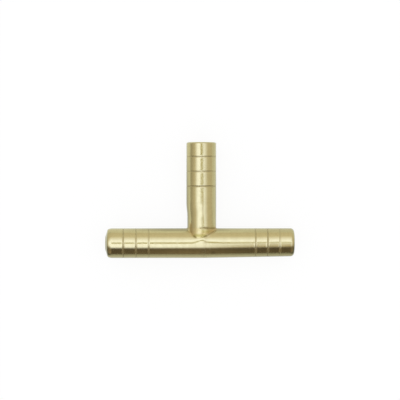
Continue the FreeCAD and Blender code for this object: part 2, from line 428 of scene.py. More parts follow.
def run_surface(x, angle, sizes):
    """A point of the run's outside, without its rings. The slim right arm keeps its upper edge straight."""
    radius = run_radius(x, sizes)
    r = radius + built_up(x, angle, sizes)
    return r * np.sin(angle) + TUBE_R - radius, r * np.cos(angle)


# The patch under the seam that dressing has left dull: its middle and spread along the run, and how far
# in front of the run's centreline it starts and is full.
RUBBED_MIDDLE = 0.7 * MM
RUBBED_SPREAD = 1.1 * MM
RUBBED_FRONT = (1.2 * MM, 1.9 * MM)


def rubbed_mask(grid):
    """Where the run is rubbed dull."""
    along = np.exp(-(((grid[..., 0] - RUBBED_MIDDLE) / RUBBED_SPREAD) ** 2))
    return along * soft_step(-grid[..., 1], *RUBBED_FRONT)


def make_run_tube(sizes):
    """The straight tube, with its rings, domed tips, filler at the crossing and the port into the branch."""
    first, last = RUN_LOW[0] + sizes.left_first_ring, RUN_HIGH[0] - sizes.right_first_ring
    left_rings = ring_places(first, sizes.left_pitch, sizes.left_depths, 1)
    right_rings = ring_places(last, sizes.right_pitch, sizes.right_depths, -1)
    rings = left_rings + right_rings
    left_x, left_r = nose_points(
        RUN_LOW[0], TUBE_R, sizes.left_face_angle, sizes.left_nose, sizes, 1,
        sizes.left_crown, sizes.left_crown_angle,
    )
    right_x, right_r = nose_points(
        RUN_HIGH[0], sizes.tip_r, sizes.right_face_angle, sizes.right_nose, sizes, -1
    )
    shaft_x = shaft_places(left_x[-1] + TIP_GAP, right_x[-1] - TIP_GAP, rings, RUN_JOINT)
    shaft_r = run_radius(shaft_x, sizes) + ring_shape(shaft_x, rings, sizes)
    bore_x = stops(RUN_HIGH[0] - sizes.bore_bevel, RUN_LOW[0] + sizes.bore_bevel, BORE_STEP)[1:]
    places = np.concatenate([left_x, shaft_x, right_x[::-1], bore_x])[:, None]
    radii = np.concatenate([left_r, shaft_r, right_r[::-1], np.full(len(bore_x), BORE_R)])[:, None]
    angle = around()
    outside = soft_step(radii, BORE_R, BORE_R + WALL_BLEND)
    built = radii + outside * built_up(places, angle, sizes)
    lift = outside * (TUBE_R - run_radius(places, sizes))
    grid = np.stack(
        np.broadcast_arrays(places, built * np.sin(angle) + lift, built * np.cos(angle)), axis=-1
    )
    masks = {
        "groove": outside * near_rings(places, rings, GROOVE_REACH),
        "inside": 1 - outside,
        "rubbed": outside * rubbed_mask(grid),
        **seam_masks(grid),
    }
    piece = mesh_piece("run_tube_polished", grid, masks, True)
    cut_port(piece)
    return piece


def cut_port(run):
    """Cut the round port from the run's bore up into the branch's."""
    past_wall = 0.2 * MM
    bpy.ops.mesh.primitive_cylinder_add(
        vertices=ROUND, radius=BORE_R, depth=TUBE_R,
        location=(0, TUBE_R / 2 + past_wall, 0), rotation=(math.pi / 2, 0, 0),
    )
    drill = bpy.context.object
    cut = run.modifiers.new("port", "BOOLEAN")
    cut.operation = "DIFFERENCE"
    cut.solver = "EXACT"
    cut.object = drill
    dressed = bpy.data.meshes.new_from_object(run.evaluated_get(bpy.context.evaluated_depsgraph_get()))
    run.modifiers.clear()
    old = run.data
    run.data = dressed
    bpy.data.meshes.remove(old)
    drill_mesh = drill.data
    bpy.data.objects.remove(drill)
    bpy.data.meshes.remove(drill_mesh)


def neck_share(y, sizes):
    """1 on the branch's dressed neck, and 0 on its full tube."""
    return 1 - soft_step(y, sizes.neck_top, sizes.neck_top + sizes.neck_blend)


def saddle_height(x, z, sizes):
    """Height over the run's centreline at which a point beside the branch's axis lies on the run."""
    return np.sqrt(np.maximum(run_radius(x, sizes) ** 2 - z ** 2, 0))


def make_branch_tube(sizes):
    """The side tube: ringed, rounded at its tip, slimmer at its neck, with a saddle for a foot."""
    rings = ring_places(
        BRANCH_HIGH[1] - sizes.branch_first_ring, sizes.branch_pitch, sizes.branch_depths, -1
    )
    tip_y, tip_r = nose_points(
        BRANCH_HIGH[1], TUBE_R, 0.0, sizes.branch_nose, sizes, -1,
        sizes.branch_crown, sizes.branch_crown_angle,
    )
    shaft_y = shaft_places(FOOT_TOP, tip_y[-1] - TIP_GAP, rings, BRANCH_JOINT)
    shaft_r = TUBE_R - (TUBE_R - sizes.neck_r) * neck_share(shaft_y, sizes)
    shaft_r = shaft_r + ring_shape(shaft_y, rings, sizes)
    bore_y = stops(BRANCH_HIGH[1] - sizes.bore_bevel, FOOT_TOP, BORE_STEP)[1:]
    foot_share = np.arange(FOOT_ROWS) / FOOT_ROWS
    seat_r = np.linspace(BORE_R, sizes.neck_r, SEAT_ROWS)[:-1]
    radii = np.concatenate([
        np.full(len(foot_share), sizes.neck_r), shaft_r, tip_r[::-1], np.full(len(bore_y), BORE_R), seat_r
    ])[:, None]
    angle = around()
    outside = soft_step(radii, BORE_R, BORE_R + WALL_BLEND)
    x, z = radii * np.sin(angle), radii * np.cos(angle)
    foot = saddle_height(x, z, sizes)
    above_foot = np.concatenate([shaft_y, tip_y[::-1], bore_y])
    share = np.concatenate([foot_share, np.ones(len(above_foot)), np.zeros(len(seat_r))])[:, None]
    level = np.concatenate([
        np.full(len(foot_share), FOOT_TOP), above_foot, np.full(len(seat_r), FOOT_TOP)
    ])[:, None]
    y = foot + (level - foot) * share
    x = x + outside * sizes.neck_shift * neck_share(y, sizes)
    grid = np.stack([x, y, z], axis=-1)
    masks = {
        "groove": outside * near_rings(y, rings, GROOVE_REACH),
        "inside": 1 - outside,
        "rubbed": np.zeros(1),
        **seam_masks(grid),
    }
    return mesh_piece("branch_tube_polished", grid, masks, False)


# How far the collar of filler stands out from the branch's neck at its rim and at its hollow bend, how
# far the bend lies over the seam, and how far the collar's closed back lies inside the neck, under the
# seam and under the rim.
RIM_PROUD = 0.035 * MM
BEND_PROUD = 0.03 * MM
BEND_RISE = 0.05 * MM
BACK_INSIDE = 0.25 * MM
BACK_UNDER_SEAM = 0.3 * MM
BACK_UNDER_RIM = 0.05 * MM

# How far the collar's toe reaches out over the run: on top, more on both flanks, and more still on the
# right one. The power keeps it short on top. The last is its least angle from the run's top, in radians.
TOE_ON_TOP = 0.02 * MM
TOE_ON_FLANKS = 0.36 * MM
TOE_RIGHT = 0.08 * MM
TOE_POWER = 1.5
TOE_LEAST_LEAN = 0.2

# How many rows the collar's hollow skin has, and its back.
SKIN_ROWS = 40
BACK_ROWS = 4

# The uneven edges of the collar: each wave's height, its number round the branch and where it starts.
RIM_WAVES = ((0.04 * MM, 3, 0.6), (0.03 * MM, 7, 0.0))
TOE_WAVES = ((0.02 * MM, 11, 1.0),)


def waves(angle, kinds):
    """How far an uneven edge strays at each angle round the branch."""
    return sum(height * np.sin(count * angle + start) for height, count, start in kinds)


def make_braze(sizes):
    """The filler: a closed collar over the seam, hollow like a fillet, dressed thin and slightly uneven."""
    angle = around()
    sine, cosine = np.sin(angle), np.cos(angle)
    neck = sizes.neck_r

    def round_branch(radius, y):
        """A row of points round the branch."""
        return np.stack([radius * sine + sizes.neck_shift, y, radius * cosine], axis=-1)

    top_y = BRAZE_HIGH[1] + waves(angle, RIM_WAVES)
    seam_y = saddle_height(neck * sine, neck * cosine, sizes)
    reach = TOE_ON_TOP + (TOE_ON_FLANKS + TOE_RIGHT * sine) * np.abs(sine) ** TOE_POWER
    reach = reach + waves(angle, TOE_WAVES)
    toe_x = (neck + reach) * sine + sizes.neck_shift
    out = np.clip((neck + reach) * np.abs(cosine) / TUBE_R, 0, math.cos(TOE_LEAST_LEAN))
    toe_y, toe_z = run_surface(toe_x, np.arccos(out), sizes)
    toe = np.stack([toe_x, toe_y, np.where(cosine < 0, -toe_z, toe_z)], axis=-1)
    top = round_branch(neck + RIM_PROUD, top_y)
    bend = round_branch(neck + BEND_PROUD, seam_y + BEND_RISE)
    share = np.linspace(0, 1, SKIN_ROWS)[:, None, None]
    skin = (1 - share) ** 2 * top + 2 * share * (1 - share) * bend + share ** 2 * toe
    back_toe = round_branch(neck - BACK_INSIDE, seam_y - BACK_UNDER_SEAM)
    back_top = round_branch(neck - BACK_INSIDE, top_y - BACK_UNDER_RIM)
    back = back_toe + (back_top - back_toe) * np.linspace(0, 1, BACK_ROWS)[:, None, None]
    grid = np.concatenate([skin, back])
    return mesh_piece("braze_filler", grid, seam_masks(grid), False)


# Finish


def node(tree, kind, place=(0, 0), **values):
    """A new node at a place in its tree. A value goes to the input of that name, or else to the setting."""
    made = tree.nodes.new(kind)
    made.location = place
    for key, value in values.items():
        if key in made.inputs:
            made.inputs[key].default_value = value
        else:
            setattr(made, key, value)
    return made


def feed(tree, source, socket):
    """Link a node's output to a socket, or set the socket to a plain value."""
    if isinstance(source, bpy.types.NodeSocket):
        tree.links.new(source, socket)
    else:
        socket.default_value = source


def calc(tree, place, operation, *values):
    """The result of a sum on sockets and plain numbers."""
    made = node(tree, "ShaderNodeMath", place, operation=operation)
    for value, socket in zip(values, made.inputs):
        feed(tree, value, socket)
    return made.outputs[0]


def mix_colours(tree, place, factor, first, second):
    """The first colour at factor 0, the second at 1. Each may be a socket or a plain value."""
    mix = node(tree, "ShaderNodeMix", place, data_type="RGBA")
    for source, socket in ((factor, mix.inputs["Factor"]), (first, mix.inputs[6]), (second, mix.inputs[7])):
        feed(tree, source, socket)
    return mix.outputs[2]


COLOUR = "NodeSocketColor"
VALUE = "NodeSocketFloat"
VECTOR = "NodeSocketVector"
WHITE = (1, 1, 1, 1)


def new_group(name, inputs, outputs):
    """An empty node group with its sockets, and its two end nodes. An input is a name, kind and default."""
    group = bpy.data.node_groups.new(name, "ShaderNodeTree")
    for socket, kind, value in inputs:
        made = group.interface.new_socket(socket, in_out="INPUT", socket_type=kind)
        made.default_value = value
    for socket, kind in outputs:
        group.interface.new_socket(socket, in_out="OUTPUT", socket_type=kind)
    return group, node(group, "NodeGroupInput", (-900, 0)), node(group, "NodeGroupOutput", (700, 0))


# The polish's coarse streaks: their scale as a share of the fine marks', and their share of the marks'
# height.
STREAK_SCALE = 0.16
STREAK_HEIGHT = 0.6


def polish_marks_group():
    """Fine marks that run round a tube. Stretch is how fine they are along each axis."""
    group, start, end = new_group(
        "Polish marks",
        [("Stretch", VECTOR, (1.0, 0.02, 0.02)), ("Fineness", VALUE, 9000.0)],
        [("Height", VALUE), ("Streak", VALUE)],
    )
    link = group.links.new
    where = node(group, "ShaderNodeTexCoord", (-900, -200))
    stretched = node(group, "ShaderNodeVectorMath", (-700, -100), operation="MULTIPLY")
    link(where.outputs["Object"], stretched.inputs[0])
    link(start.outputs["Stretch"], stretched.inputs[1])
    fine = node(group, "ShaderNodeTexNoise", (-450, 100), Detail=3.0, Roughness=0.65)
    coarse = node(group, "ShaderNodeTexNoise", (-450, -200), Detail=2.0, Roughness=0.5)
    coarse_scale = calc(group, (-650, -300), "MULTIPLY", start.outputs["Fineness"], STREAK_SCALE)
    link(start.outputs["Fineness"], fine.inputs["Scale"])
    link(coarse_scale, coarse.inputs["Scale"])
    link(stretched.outputs[0], fine.inputs["Vector"])
    link(stretched.outputs[0], coarse.inputs["Vector"])
    streak = coarse.outputs["Fac"]
    height = calc(group, (-150, 0), "MULTIPLY_ADD", streak, STREAK_HEIGHT, fine.outputs["Fac"])
    link(height, end.inputs["Height"])
    link(streak, end.inputs["Streak"])
    return group


def mottle_group():
    """Soft patches of slightly different tone."""
    group, start, end = new_group(
        "Mottle",
        [("Scale", VALUE, 700.0), ("Low", VALUE, 0.35), ("High", VALUE, 0.7)],
        [("Patch", VALUE)],
    )
    link = group.links.new
    where = node(group, "ShaderNodeTexCoord", (-900, -200))
    noise = node(group, "ShaderNodeTexNoise", (-500, 0), Detail=4.0, Roughness=0.55)
    link(where.outputs["Object"], noise.inputs["Vector"])
    link(start.outputs["Scale"], noise.inputs["Scale"])
    spread = node(group, "ShaderNodeMapRange", (0, 0), interpolation_type="SMOOTHSTEP")
    link(noise.outputs["Fac"], spread.inputs["Value"])
    link(start.outputs["Low"], spread.inputs["From Min"])
    link(start.outputs["High"], spread.inputs["From Max"])
    link(spread.outputs["Result"], end.inputs["Patch"])
    return group


# How strongly the seam's masks tint a metal: bare filler by one share, and stains by another, which dull
# patches raise.
BARE_TONE = 0.8
STAIN_TONE = 0.8
STAIN_MOTTLE = 0.25


def seam_tone_group():
    """A metal's tone turned to bare filler, to thin filler and to tarnish by the seam's masks."""
    group, start, end = new_group(
        "Seam tone",
        [(name, COLOUR, WHITE) for name in ("Metal", "Filler", "Thin filler", "Tarnish")]
        + [(name, VALUE, 0.0) for name in ("Bare", "Thin", "Stain", "Patch")],
        [("Tone", COLOUR)],
    )
    given = start.outputs
    bare = calc(group, (-600, 300), "MULTIPLY", given["Bare"], BARE_TONE)
    uneven = calc(group, (-600, -100), "MULTIPLY_ADD", given["Patch"], STAIN_MOTTLE, STAIN_TONE)
    dark = calc(group, (-400, -100), "MULTIPLY", given["Stain"], uneven)
    tone = mix_colours(group, (-200, 300), bare, given["Metal"], given["Filler"])
    tone = mix_colours(group, (0, 200), given["Thin"], tone, given["Thin filler"])
    tone = mix_colours(group, (200, 100), dark, tone, given["Tarnish"])
    group.links.new(tone, end.inputs["Tone"])
    return group


# How strongly patches, streaks, grooves and the bore turn the brass to a darker tone.
PATCH_TONE = 0.22
STREAK_TONE = 0.25
GROOVE_TONE = 0.3
INSIDE_TONE = 0.6

# How much roughness each mask adds to the polish's own. The streaks swing it to both sides.
STREAK_ROUGHNESS = 0.1
STAIN_ROUGHNESS = 0.2
ADDED_ROUGHNESS = {"Groove": 0.35, "Inside": 0.3, "Rubbed": 0.09, "Stain": STAIN_ROUGHNESS}


def worn_brass_group():
    """Brass in dull patches and streaks, tarnished in its grooves, dull in its bore, and its roughness."""
    group, start, end = new_group(
        "Worn brass",
        [(name, COLOUR, WHITE) for name in ("Brass", "Dull brass", "Tarnish")]
        + [(name, VALUE, 0.0) for name in ("Polish", "Patch", "Streak", *ADDED_ROUGHNESS)],
        [("Tone", COLOUR), ("Roughness", VALUE)],
    )
    given = start.outputs
    uneven = calc(group, (-650, 300), "MULTIPLY", given["Patch"], PATCH_TONE)
    uneven = calc(group, (-500, 300), "MULTIPLY_ADD", given["Streak"], STREAK_TONE, uneven)
    tone = mix_colours(group, (-350, 300), uneven, given["Brass"], given["Dull brass"])
    dark = calc(group, (-350, 100), "MULTIPLY", given["Groove"], GROOVE_TONE)
    tone = mix_colours(group, (-150, 300), dark, tone, given["Tarnish"])
    dull = calc(group, (-150, 100), "MULTIPLY", given["Inside"], INSIDE_TONE)
    tone = mix_colours(group, (50, 300), dull, tone, given["Dull brass"])
    rough = calc(group, (-650, -200), "SUBTRACT", given["Polish"], STREAK_ROUGHNESS / 2)
    rough = calc(group, (-500, -200), "MULTIPLY_ADD", given["Streak"], STREAK_ROUGHNESS, rough)
    for index, (worn, more) in enumerate(ADDED_ROUGHNESS.items()):
        rough = calc(group, (-350 + 150 * index, -200), "MULTIPLY_ADD", given[worn], more, rough)
    group.links.new(tone, end.inputs["Tone"])
    group.links.new(rough, end.inputs["Roughness"])
    return group


GROUP_MAKERS = {
    "Polish marks": polish_marks_group,
    "Mottle": mottle_group,
    "Seam tone": seam_tone_group,
    "Worn brass": worn_brass_group,
}


def place_group(tree, place, name, values):
    """One of the metals' shared node groups, made at its first use and placed with its own values."""
    group = bpy.data.node_groups.get(name) or GROUP_MAKERS[name]()
    placed = node(tree, "ShaderNodeGroup", place, node_tree=group)
    for socket, source in values.items():
        feed(tree, source, placed.inputs[socket])
    return placed.outputs


def carried_masks(tree, names):
    """The masks that a piece's points carry, by name."""
    return {
        name: node(tree, "ShaderNodeAttribute", (-1300, 700 - 200 * row), attribute_name=name).outputs["Fac"]
        for row, name in enumerate(names)
    }


def metal(name):
    """A new polished metal, with its node tree and its shader."""
    material = bpy.data.materials.new(name)
    material.use_nodes = True
    shader = material.node_tree.nodes["Principled BSDF"]
    shader.inputs["Metallic"].default_value = 1.0
    return material, material.node_tree, shader


def tint_seam(tree, shader, finish, tone, patch, masks):
    """Tint the metal along the seam, as its colour."""
    seam = place_group(tree, (-350, 200), "Seam tone", {
        "Metal": tone,
        "Filler": (*finish.filler, 1),
        "Thin filler": (*finish.filler_thin, 1),
        "Tarnish": (*finish.grime, 1),
        "Bare": masks["bare"],
        "Thin": masks["thin"],
        "Stain": masks["stain"],
        "Patch": patch,
    })
    tree.links.new(seam["Tone"], shader.inputs["Base Color"])


def raise_marks(tree, shader, height, strength, depth):
    """Let the polish's marks stand out in relief."""
    bump = node(tree, "ShaderNodeBump", (-350, -400), Strength=strength, Distance=depth)
    tree.links.new(height, bump.inputs["Height"])
    tree.links.new(bump.outputs["Normal"], shader.inputs["Normal"])


# How fine the polish's marks are along each axis: fine along a tube, and long round it.
RUN_STRETCH = (1.0, 0.03, 0.03)
BRANCH_STRETCH = (0.03, 1.0, 0.03)
FILLER_STRETCH = (0.5, 0.5, 0.3)


def brass_material(name, finish, stretch):
    """Polished brass with fine marks round the tube, soft mottling and tarnish in its grooves."""
    material, tree, shader = metal(name)
    marks = place_group(tree, (-1000, -400), "Polish marks", {"Stretch": stretch})
    patch = place_group(tree, (-1000, -200), "Mottle", {})["Patch"]
    masks = carried_masks(tree, ("groove", "inside", "rubbed", "bare", "thin", "stain"))
    worn = place_group(tree, (-650, 300), "Worn brass", {
        "Brass": (*finish.brass, 1),
        "Dull brass": (*finish.brass_dull, 1),
        "Tarnish": (*finish.grime, 1),
        "Polish": finish.roughness,
        "Patch": patch,
        "Streak": marks["Streak"],
        "Groove": masks["groove"],
        "Inside": masks["inside"],
        "Rubbed": masks["rubbed"],
        "Stain": masks["stain"],
    })
    tint_seam(tree, shader, finish, worn["Tone"], patch, masks)
    tree.links.new(worn["Roughness"], shader.inputs["Roughness"])
    raise_marks(tree, shader, marks["Height"], strength=0.35, depth=0.004 * MM)
    return material


# How much of the filler's own tone shows over the brass's, and how much more in patches. How much
# rougher than the brass the filler is, and how much rougher still in patches.
FILLER_TONE = 0.12
FILLER_MOTTLE = 0.3
FILLER_ROUGHNESS = 0.02
PATCH_ROUGHNESS = 0.08


def filler_material(name, finish):
    """Brazing filler dressed to a thin skin: brass in tone, bare and warm on its flanks, dark at its rim."""
    material, tree, shader = metal(name)
    marks = place_group(tree, (-1000, -400), "Polish marks", {"Stretch": FILLER_STRETCH})
    patch = place_group(tree, (-1000, -200), "Mottle", {})["Patch"]
    masks = carried_masks(tree, ("bare", "thin", "stain"))
    warm = calc(tree, (-800, 300), "MULTIPLY_ADD", patch, FILLER_MOTTLE, FILLER_TONE)
    tone = mix_colours(tree, (-600, 300), warm, (*finish.brass, 1), (*finish.filler, 1))
    tint_seam(tree, shader, finish, tone, patch, masks)
    smoothest = finish.roughness + FILLER_ROUGHNESS
    rough = calc(tree, (-600, -100), "MULTIPLY_ADD", patch, PATCH_ROUGHNESS, smoothest)
    rough = calc(tree, (-450, -100), "MULTIPLY_ADD", masks["stain"], STAIN_ROUGHNESS, rough)
    tree.links.new(rough, shader.inputs["Roughness"])
    raise_marks(tree, shader, marks["Height"], strength=0.5, depth=0.01 * MM)
    return material


# Studio


def soft_range(tree, place, value, low, high, start=0.0, end=1.0, shape="SMOOTHSTEP"):
    """A value turned into a soft step: start at low, end at high."""
    step = node(tree, "ShaderNodeMapRange", place, interpolation_type=shape)
    settings = {"Value": value, "From Min": low, "From Max": high, "To Min": start, "To Max": end}
    for socket, source in settings.items():
        feed(tree, source, step.inputs[socket])
    return step.outputs["Result"]


def added(tree, place, first, second):
    """The sum of two colours."""
    total = node(tree, "ShaderNodeVectorMath", place, operation="ADD")
    feed(tree, first, total.inputs[0])
    feed(tree, second, total.inputs[1])
    return total.outputs[0]


def scaled(tree, place, tint, level):
    """A colour times a level that may pass 1. Each may be a socket or a plain value."""
    times = node(tree, "ShaderNodeVectorMath", place, operation="SCALE")
    feed(tree, tint, times.inputs[0])
    feed(tree, level, times.inputs["Scale"])
    return times.outputs[0]


def glowing(name):
    """A material that only gives light, with its tree, its Emission node, and its surface's X, Y and Z."""
    material = bpy.data.materials.new(name)
    material.use_nodes = True
    tree = material.node_tree
    tree.nodes.clear()
    light = node(tree, "ShaderNodeEmission", (600, 0))
    out = node(tree, "ShaderNodeOutputMaterial", (800, 0))
    tree.links.new(light.outputs[0], out.inputs[0])
    where = node(tree, "ShaderNodeTexCoord", (-1500, 0))
    split = node(tree, "ShaderNodeSeparateXYZ", (-1300, 0))
    tree.links.new(where.outputs["Object"], split.inputs[0])
    return material, tree, light, split.outputs


# The light tent is a sphere of radius 1 round the tee, so a place on it is a direction. East is along
# the run to the right, and north along the branch. A tilt is in degrees from overhead.

# The tent's four sides: the axis that points there and its sign, the soft ring's level as a share of its
# full strength, the tilts between which the ring fades, and the wall's level high up and low down.
TENT_SIDES = {
    "back": {"axis": "north", "sign": 1, "ring": 1.0, "fades": (20, 55), "wall": (1.02, 0.91)},
    "front": {"axis": "north", "sign": -1, "ring": 1.02, "fades": (26, 40), "wall": (1.0, 1.4)},
    "right": {"axis": "east", "sign": 1, "ring": 0.88, "fades": (18, 50), "wall": (0.88, 0.80)},
    "left": {"axis": "east", "sign": -1, "ring": 1.0, "fades": (28, 50), "wall": (0.92, 0.57)},
}

# The tilts between which a wall passes from its upper level to its lower one.
WALL_TILTS = (50, 82)

# The right and left walls darken forwards: between which places, and to what share.
WALLS_DARKEN = (0.2, 0.55)
WALLS_DARKEST = 0.2

# The soft ring's weak corner, in front on the right: where it sets in and where it ends eastwards, where
# it sets in forwards, how much further west it reaches forwards, and its dim, warm colour.
CORNER_START = (0.053, 0.093)
CORNER_END = (0.16, 0.3)
CORNER_FRONT = (-0.02, 0.1)
CORNER_LEAN = 0.045
CORNER_COLOUR = (0.6, 0.53, 0.3, 1)

# The dark curtain in front glows in its middle and again far out: the middle, the distances to each side
# over which the glow fades and comes back, the tilts between which it is lost low down, and how much
# brighter it makes the curtain.
GLOW_MIDDLE = 0.014
GLOW_FADES = (0.0, 0.078)
GLOW_RETURNS = (0.1, 0.2)
GLOW_TILTS = (70, 110)
GLOW_GAIN = 4.6


def weak_corner(tree, ring, east, ahead):
    """The soft ring's colour in front, with its weak corner."""
    leaning = calc(tree, (-150, 600), "MULTIPLY_ADD", ahead, CORNER_LEAN, east)
    corner = soft_range(tree, (0, 600), leaning, *CORNER_START)
    in_front = soft_range(tree, (0, 800), ahead, *CORNER_FRONT)
    not_past = soft_range(tree, (0, 1000), east, *CORNER_END, 1.0, 0.0)
    corner = calc(tree, (150, 600), "MULTIPLY", corner, in_front)
    corner = calc(tree, (300, 600), "MULTIPLY", corner, not_past)
    return mix_colours(tree, (450, 600), corner, (*ring, 1), CORNER_COLOUR)


def lit_curtain(tree, curtain, east, tilt):
    """The dark curtain's colour, with its glow."""
    off_middle = calc(tree, (-300, 1200), "SUBTRACT", east, GLOW_MIDDLE)
    off_middle = calc(tree, (-150, 1200), "ABSOLUTE", off_middle)
    glow = soft_range(tree, (0, 1200), off_middle, *GLOW_FADES, 1.0, 0.0)
    far_glow = soft_range(tree, (0, 1600), off_middle, *GLOW_RETURNS)
    high_up = soft_range(tree, (0, 1400), tilt, *GLOW_TILTS, 1.0, 0.0)
    glow = calc(tree, (150, 1200), "ADD", glow, far_glow)
    glow = calc(tree, (300, 1200), "MULTIPLY", glow, high_up)
    brightest = (*(part * GLOW_GAIN for part in curtain), 1)
    return mix_colours(tree, (450, 1200), glow, (*curtain, 1), brightest)


def tent_side(tree, row, tilt, ring, wall, side):
    """One side's colour: the soft ring overhead, fading to the wall's own level."""
    lit = soft_range(tree, (-700, row), tilt, *side["fades"], 1.0, 0.0, "LINEAR")
    level = soft_range(tree, (-700, row + 150), tilt, *WALL_TILTS, *side["wall"], "LINEAR")
    wall = scaled(tree, (-450, row + 150), wall, level)
    ring = scaled(tree, (-450, row - 100), ring, side["ring"])
    return mix_colours(tree, (-250, row), lit, wall, ring)


def facing(tree, row, along, sign, flat):
    """How much of a direction faces one side. The shares of the four sides add up to 1."""
    part = calc(tree, (-950, row), "MULTIPLY", along, sign)
    part = calc(tree, (-900, row), "MAXIMUM", part, 0.0)
    part = calc(tree, (-850, row), "MULTIPLY", part, part)
    return calc(tree, (-800, row), "DIVIDE", part, flat)


def tent_material(studio):
    """The light tent by direction: a soft ring overhead, three walls, and a dark curtain in front."""
    material, tree, light, (east, north, up) = glowing("light tent")
    tilt = calc(tree, (-1100, 200), "MULTIPLY", calc(tree, (-1250, 200), "ARCCOSINE", up), 180 / math.pi)
    ahead = calc(tree, (-300, 600), "MULTIPLY", north, -1.0)
    north_square = calc(tree, (-1250, -300), "MULTIPLY", north, north)
    flat = calc(tree, (-1100, -300), "MULTIPLY_ADD", east, east, north_square)
    axes = {"east": east, "north": north}
    ring = tuple(part * studio.softbox_strength for part in studio.softbox)
    front_ring = weak_corner(tree, ring, east, ahead)
    curtain = lit_curtain(tree, studio.curtain, east, tilt)
    darkened = soft_range(tree, (0, 2000), ahead, *WALLS_DARKEN, 1.0, WALLS_DARKEST)
    total = (0, 0, 0)
    for index, (name, side) in enumerate(TENT_SIDES.items()):
        row = -500 * index
        front = name == "front"
        wall = curtain if front else studio.room
        if side["axis"] == "east":
            wall = scaled(tree, (-600, row - 250), wall, darkened)
        tone = tent_side(tree, row, tilt, front_ring if front else ring, wall, side)
        share = facing(tree, row, axes[side["axis"]], side["sign"], flat)
        total = added(tree, (50, row), total, scaled(tree, (-100, row), tone, share))
    tree.links.new(total, light.inputs["Color"])
    return material


# The table as the polish shows it: a painted reflection, with painted light and shade. Each shade runs
# between two
# distances in mm, and between two levels: in front and to the left and right of the crossing, close behind
# it, round the left corner of run and branch, where it is the branch's painted shadow, and past the run's
# two tips, where it lies only in front.
TABLE_SHADES = {
    "front": (-42, -5, 0.46, 0.86),
    "right": (2, 24, 1.0, 0.86),
    "left": (-55, -15, 0.55, 1.0),
    "behind": (0, 5, 0.0, 0.2),
    "corner": (4, 19, 0.67, 1.0),
    "past the tips": (28, 31, 0.0, 1.0),
    "front of the tips": (-3.5, -1, 0.65, 0.0),
}

# The middle of the corner's shade, in mm along the run and along the branch.
CORNER_MIDDLE = (-4, 10)

# The table's white in the polish: a little cooler than the lamps.
TABLE_TINT = (0.92, 1.0, 1.08, 1)

# Half the side of the square of table that the polish shows.
TABLE_REACH = 300 * MM


def table_shade(tree, place, value, name, shape="SMOOTHSTEP"):
    """One shade of the table, from a distance in metres."""
    near, far, start, end = TABLE_SHADES[name]
    return soft_range(tree, place, value, near * MM, far * MM, start, end, shape)


def table_material():
    """A painted reflection of the table, with painted shade: dimmer in front and on the left than close to
    the tee.
    """
    material, tree, light, (east, north, _) = glowing("table in the polish")
    front = table_shade(tree, (0, 0), north, "front", "LINEAR")
    front = calc(tree, (150, -100), "MULTIPLY", front, table_shade(tree, (0, -200), east, "right"))
    left = table_shade(tree, (0, 200), east, "left", "LINEAR")
    level = calc(tree, (200, 0), "MINIMUM", front, left)
    level = calc(tree, (350, 0), "ADD", level, table_shade(tree, (0, 400), north, "behind"))
    beside = calc(tree, (-300, 600), "SUBTRACT", east, CORNER_MIDDLE[0] * MM)
    behind = calc(tree, (-300, 800), "SUBTRACT", north, CORNER_MIDDLE[1] * MM)
    behind_square = calc(tree, (-300, 1000), "MULTIPLY", behind, behind)
    away = calc(tree, (-150, 900), "MULTIPLY_ADD", beside, beside, behind_square)
    away = calc(tree, (-150, 700), "SQRT", away)
    level = calc(tree, (450, 0), "MULTIPLY", level, table_shade(tree, (0, 700), away, "corner"))
    outwards = calc(tree, (150, 1100), "ABSOLUTE", east)
    past_tips = table_shade(tree, (300, 1100), outwards, "past the tips")
    in_front = table_shade(tree, (300, 1300), north, "front of the tips")
    dark = calc(tree, (450, 1100), "MULTIPLY", past_tips, in_front)
    level = calc(tree, (550, 400), "MULTIPLY", level, calc(tree, (550, 900), "SUBTRACT", 1.0, dark))
    tree.links.new(level, light.inputs["Strength"])
    light.inputs["Color"].default_value = TABLE_TINT
    return material


# A dim, warm card overhead, which draws the dark line along each tube: a painted reflection. Its outline
# from above in mm, along the run and along the branch, and its height over the tee.
OVERHEAD_CARD_OUTLINE = [
    (-120, 8), (-145, 60), (-100, 118), (-63, 138), (-27, 140), (24, 158), (55, 162), (75, 128), (90, 60),
    (180, 30), (250, 0), (390, -30), (410, -70), (240, -75), (140, -48), (85, -30), (30, -8), (-6, -22),
    (-45, -24), (-100, -10),
]
OVERHEAD_CARD_HEIGHT = 950 * MM


def overhead_reflection_material(studio):
    """The card overhead, an even, warm glow: a painted reflection."""
    material, _, light, _ = glowing("painted reflection overhead")
    light.inputs["Color"].default_value = (*studio.gap, 1)
    return material


def floor_material(studio):
    """The floor: white but for its own shadows, and partly glowing to the camera and in the polish."""
    material = bpy.data.materials.new("floor")
    material.use_nodes = True
    tree = material.node_tree
    shader = tree.nodes["Principled BSDF"]
    shader.inputs["Base Color"].default_value = (*studio.floor, 1)
    shader.inputs["Roughness"].default_value = 0.9
    shader.inputs["Specular IOR Level"].default_value = 0.0
    rays = node(tree, "ShaderNodeLightPath", (-600, 300))
    seen = calc(tree, (-400, 300), "ADD", rays.outputs["Is Camera Ray"], rays.outputs["Is Glossy Ray"])
    seen = calc(tree, (-250, 300), "ADD", seen, rays.outputs["Is Transmission Ray"])
    seen = calc(tree, (-100, 300), "MULTIPLY", seen, studio.floor_glow)
    white = node(tree, "ShaderNodeEmission", (0, -300), Color=(1, 1, 1, 1), Strength=1.0)
    mix = node(tree, "ShaderNodeMixShader", (350, 0))
    tree.links.new(seen, mix.inputs[0])
    tree.links.new(shader.outputs[0], mix.inputs[1])
    tree.links.new(white.outputs[0], mix.inputs[2])
    tree.links.new(mix.outputs[0], tree.nodes["Material Output"].inputs[0])
    return material


def only_reflected(card):
    """Keep a card of the studio out of sight: only polished metal shows it."""
    card.visible_camera = False
    card.visible_diffuse = False
    card.visible_transmission = False
    card.visible_shadow = False


